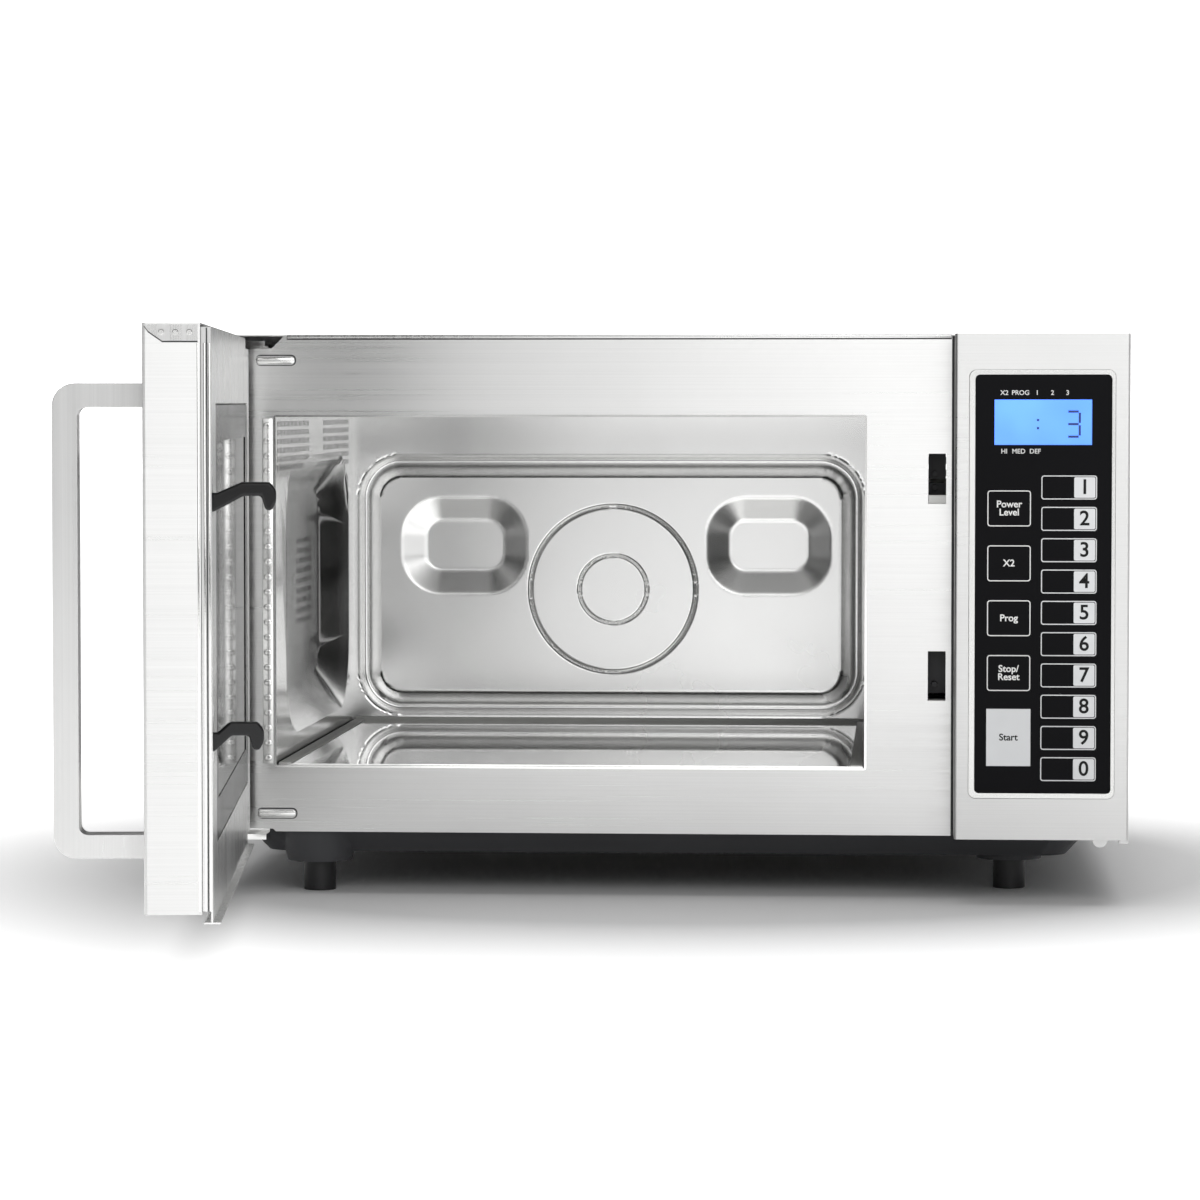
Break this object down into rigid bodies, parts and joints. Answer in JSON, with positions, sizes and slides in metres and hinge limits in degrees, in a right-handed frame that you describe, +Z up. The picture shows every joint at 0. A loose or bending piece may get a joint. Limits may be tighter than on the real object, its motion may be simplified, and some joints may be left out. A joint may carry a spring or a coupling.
{
  "type": "microwave oven",
  "caption": "Free-standing stainless microwave oven with a hinged door, latch hooks, bracket handle, flat ceramic floor and keypad panel, door open.",
  "frame": {"origin": "centre of the cabinet's footprint at worktop level, on the plane of the feet's undersides", "axes": "+Z up, the front faces -Y, +X to the right seen from the front"},
  "size_m": [0.5217, 0.814, 0.311],
  "materials": {
    "stainless": "brushed",
    "cavity_steel": "fine satin",
    "ceramic": "glossy",
    "silicone": "satin",
    "base_paint": "satin",
    "foot_rubber": "satin",
    "galvanised": "satin",
    "black_plastic": "matte",
    "bright_steel": "polished",
    "bezel_trim": "satin",
    "black_membrane": "satin",
    "display": "backlit",
    "circuit_board": "satin",
    "white_plastic": "satin",
    "switch_plastic": "matte",
    "core_iron": "varnished",
    "copper": "enamelled",
    "fan_plastic": "satin",
    "aluminium": "satin",
    "dark_glass": "polished",
    "door_steel": "brushed",
    "screen_metal": "satin",
    "choke_plastic": "gloss",
    "latch_plastic": "gloss",
    "light_membrane": "satin"
  },
  "bodies": {
    "cabinet": {"outer_wrapper": "stainless", "front_plate": "stainless", "cavity_left_wall": "cavity_steel", "cavity_right_wall": "cavity_steel", "cavity_ceiling": "cavity_steel", "cavity_sump": "cavity_steel", "cavity_back_wall": "cavity_steel", "ceramic_floor": "ceramic", "floor_seal": "silicone", "base_plate": "base_paint", "feet": "foot_rubber", "rear_panel": "galvanised", "cord_gland": "black_plastic", "hinge_brackets": "bright_steel", "control_fascia": "stainless", "panel_bezel": "bezel_trim", "keypad_overlay": "black_membrane", "display_module": "display", "control_board": "circuit_board", "interlock_bracket": "white_plastic", "interlock_switches": "switch_plastic", "magnetron": "galvanised", "waveguide": "galvanised", "transformer_core": "core_iron", "transformer_coils": "copper", "hv_capacitor": "galvanised", "fan_bracket": "galvanised", "fan_motor": "core_iron", "stirrer_motor": "galvanised", "lamp": "white_plastic", "thermal_cutouts": "bright_steel", "filter_board": "circuit_board", "cabinet_screws": "bright_steel"},
    "door": {"door_skin": "stainless", "door_glass": "dark_glass", "choke_frame": "door_steel", "window_screen": "screen_metal", "inner_glass": "dark_glass", "choke_cover": "choke_plastic", "door_handle": "stainless", "handle_screws": "bright_steel"},
    "door_latch": {"door_latch": "latch_plastic"},
    "fan_blade": {"fan_blade": "fan_plastic"},
    "stirrer": {"stirrer": "aluminium"},
    "switch_plunger_upper": {"switch_plunger_upper": "switch_plastic"},
    "switch_plunger_monitor": {"switch_plunger_monitor": "switch_plastic"},
    "switch_plunger_lower": {"switch_plunger_lower": "switch_plastic"},
    "key_power_level": {"key_power_level": "black_membrane"},
    "key_x2": {"key_x2": "black_membrane"},
    "key_prog": {"key_prog": "black_membrane"},
    "key_stop_reset": {"key_stop_reset": "black_membrane"},
    "key_start": {"key_start": "light_membrane"},
    "key_1": {"key_1": "black_membrane"},
    "key_2": {"key_2": "black_membrane"},
    "key_3": {"key_3": "black_membrane"},
    "key_4": {"key_4": "black_membrane"},
    "key_5": {"key_5": "black_membrane"},
    "key_6": {"key_6": "black_membrane"},
    "key_7": {"key_7": "black_membrane"},
    "key_8": {"key_8": "black_membrane"},
    "key_9": {"key_9": "black_membrane"},
    "key_0": {"key_0": "black_membrane"}
  },
  "joints": [
    {"name": "door_swing", "type": "hinge", "parent": "cabinet", "child": "door", "pos_m": [-0.242, -0.198, 0], "axis": [0, 0, -1], "range_deg": [-84, 14]},
    {"name": "latch_lift", "type": "slide", "parent": "door", "child": "door_latch", "axis": [0, 0, 1], "range_m": [0, 0.004], "stiffness_N_per_m": 400, "springref_m": -0.003},
    {"name": "fan_spin", "type": "hinge", "parent": "cabinet", "child": "fan_blade", "pos_m": [0.186, 0.191, 0.205], "axis": [0, 1, 0], "continuous": true},
    {"name": "stirrer_spin", "type": "hinge", "parent": "cabinet", "child": "stirrer", "pos_m": [-0.05, -0.01, 0.05], "axis": [0, 0, 1], "continuous": true},
    {"name": "switch_plunger_upper_press", "type": "slide", "parent": "cabinet", "child": "switch_plunger_upper", "axis": [0, 1, 0], "range_m": [0, 0.001], "stiffness_N_per_m": 600},
    {"name": "switch_plunger_monitor_press", "type": "slide", "parent": "cabinet", "child": "switch_plunger_monitor", "axis": [0, 1, 0], "range_m": [0, 0.001], "stiffness_N_per_m": 600},
    {"name": "switch_plunger_lower_press", "type": "slide", "parent": "cabinet", "child": "switch_plunger_lower", "axis": [0, 1, 0], "range_m": [0, 0.001], "stiffness_N_per_m": 600},
    {"name": "key_power_level_press", "type": "slide", "parent": "cabinet", "child": "key_power_level", "axis": [0, 1, 0], "range_m": [0, 0.0004], "stiffness_N_per_m": 3000},
    {"name": "key_x2_press", "type": "slide", "parent": "cabinet", "child": "key_x2", "axis": [0, 1, 0], "range_m": [0, 0.0004], "stiffness_N_per_m": 3000},
    {"name": "key_prog_press", "type": "slide", "parent": "cabinet", "child": "key_prog", "axis": [0, 1, 0], "range_m": [0, 0.0004], "stiffness_N_per_m": 3000},
    {"name": "key_stop_reset_press", "type": "slide", "parent": "cabinet", "child": "key_stop_reset", "axis": [0, 1, 0], "range_m": [0, 0.0004], "stiffness_N_per_m": 3000},
    {"name": "key_start_press", "type": "slide", "parent": "cabinet", "child": "key_start", "axis": [0, 1, 0], "range_m": [0, 0.0004], "stiffness_N_per_m": 3000},
    {"name": "key_1_press", "type": "slide", "parent": "cabinet", "child": "key_1", "axis": [0, 1, 0], "range_m": [0, 0.0004], "stiffness_N_per_m": 3000},
    {"name": "key_2_press", "type": "slide", "parent": "cabinet", "child": "key_2", "axis": [0, 1, 0], "range_m": [0, 0.0004], "stiffness_N_per_m": 3000},
    {"name": "key_3_press", "type": "slide", "parent": "cabinet", "child": "key_3", "axis": [0, 1, 0], "range_m": [0, 0.0004], "stiffness_N_per_m": 3000},
    {"name": "key_4_press", "type": "slide", "parent": "cabinet", "child": "key_4", "axis": [0, 1, 0], "range_m": [0, 0.0004], "stiffness_N_per_m": 3000},
    {"name": "key_5_press", "type": "slide", "parent": "cabinet", "child": "key_5", "axis": [0, 1, 0], "range_m": [0, 0.0004], "stiffness_N_per_m": 3000},
    {"name": "key_6_press", "type": "slide", "parent": "cabinet", "child": "key_6", "axis": [0, 1, 0], "range_m": [0, 0.0004], "stiffness_N_per_m": 3000},
    {"name": "key_7_press", "type": "slide", "parent": "cabinet", "child": "key_7", "axis": [0, 1, 0], "range_m": [0, 0.0004], "stiffness_N_per_m": 3000},
    {"name": "key_8_press", "type": "slide", "parent": "cabinet", "child": "key_8", "axis": [0, 1, 0], "range_m": [0, 0.0004], "stiffness_N_per_m": 3000},
    {"name": "key_9_press", "type": "slide", "parent": "cabinet", "child": "key_9", "axis": [0, 1, 0], "range_m": [0, 0.0004], "stiffness_N_per_m": 3000},
    {"name": "key_0_press", "type": "slide", "parent": "cabinet", "child": "key_0", "axis": [0, 1, 0], "range_m": [0, 0.0004], "stiffness_N_per_m": 3000}
  ]
}
